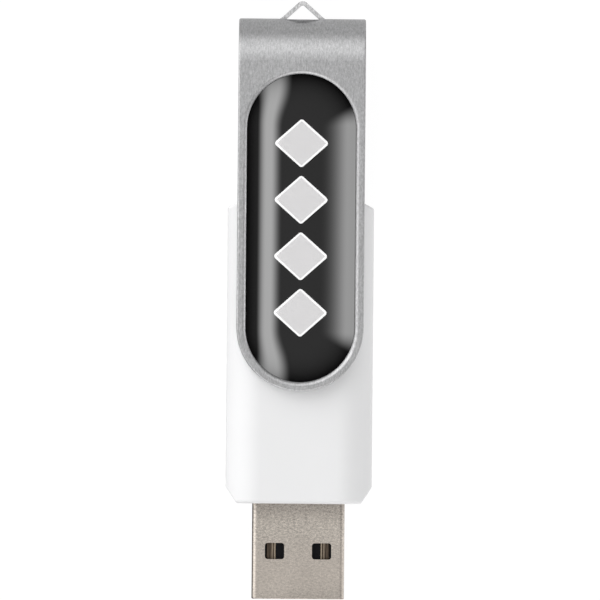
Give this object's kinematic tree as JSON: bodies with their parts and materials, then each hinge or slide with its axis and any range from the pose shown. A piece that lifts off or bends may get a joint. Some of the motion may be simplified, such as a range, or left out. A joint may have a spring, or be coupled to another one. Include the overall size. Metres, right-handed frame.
{
  "type": "swivel usb flash drive",
  "caption": "Swivel USB flash drive: white plastic body with a USB-A plug, turning inside a U-shaped brushed aluminium clip with a domed black label and a key-ring loop.",
  "frame": {"origin": "on the pivot axis, in the outside plane of the clip's back leaf, which the drive rests on", "axes": "+Z up along the pivot axis towards the label; +Y along the clip towards its bend and the key-ring loop; -Y is the way the plug points at rest; +X to the right, seen from the label's side with +Y up"},
  "size_m": [0.019, 0.0776, 0.012],
  "materials": {
    "clip_aluminium": "satin, brushed along the clip",
    "film_black": "black printed film",
    "print_ink": "light grey ink with a white edge",
    "dome_resin": "clear, glossy cast resin",
    "shell_plastic": "white, half-gloss moulded ABS",
    "plug_nickel": "nickel-plated steel, fine grain",
    "insulator_plastic": "black moulded nylon",
    "contact_gold": "gold-plated",
    "solder_tin": "bright solder",
    "board_laminate": "green solder mask on glass laminate",
    "chip_epoxy": "moulded epoxy",
    "lead_tin": "tinned",
    "crystal_ceramic": "unglazed",
    "crystal_cover": "satin",
    "led_white": "white moulding",
    "led_lens": "pale yellow clear resin",
    "capacitor_ceramic": "tan",
    "resistor_coat": "black glass coat"
  },
  "bodies": {
    "drive_body": {"front_shell": "shell_plastic", "back_shell": "shell_plastic", "plug_shell": "plug_nickel", "plug_insulator": "insulator_plastic", "power_contacts": "contact_gold", "data_contacts": "contact_gold", "solder_joints": "solder_tin", "circuit_board": "board_laminate", "flash_chip": "chip_epoxy", "flash_chip_leads": "lead_tin", "controller_chip": "chip_epoxy", "controller_leads": "lead_tin", "crystal_base": "crystal_ceramic", "crystal_lid": "crystal_cover", "status_led_base": "led_white", "status_led_lens": "led_lens", "capacitor_bodies": "capacitor_ceramic", "capacitor_ends": "lead_tin", "resistor_bodies": "resistor_coat", "resistor_ends": "lead_tin"},
    "clip": {"swivel_clip": "clip_aluminium", "label_film": "film_black", "label_print": "print_ink", "label_dome": "dome_resin"}
  },
  "joints": [
    {"name": "clip_swivel", "type": "hinge", "parent": "drive_body", "child": "clip", "pos_m": [0, 0, 0.0056], "axis": [0, 0, 1], "continuous": true}
  ]
}
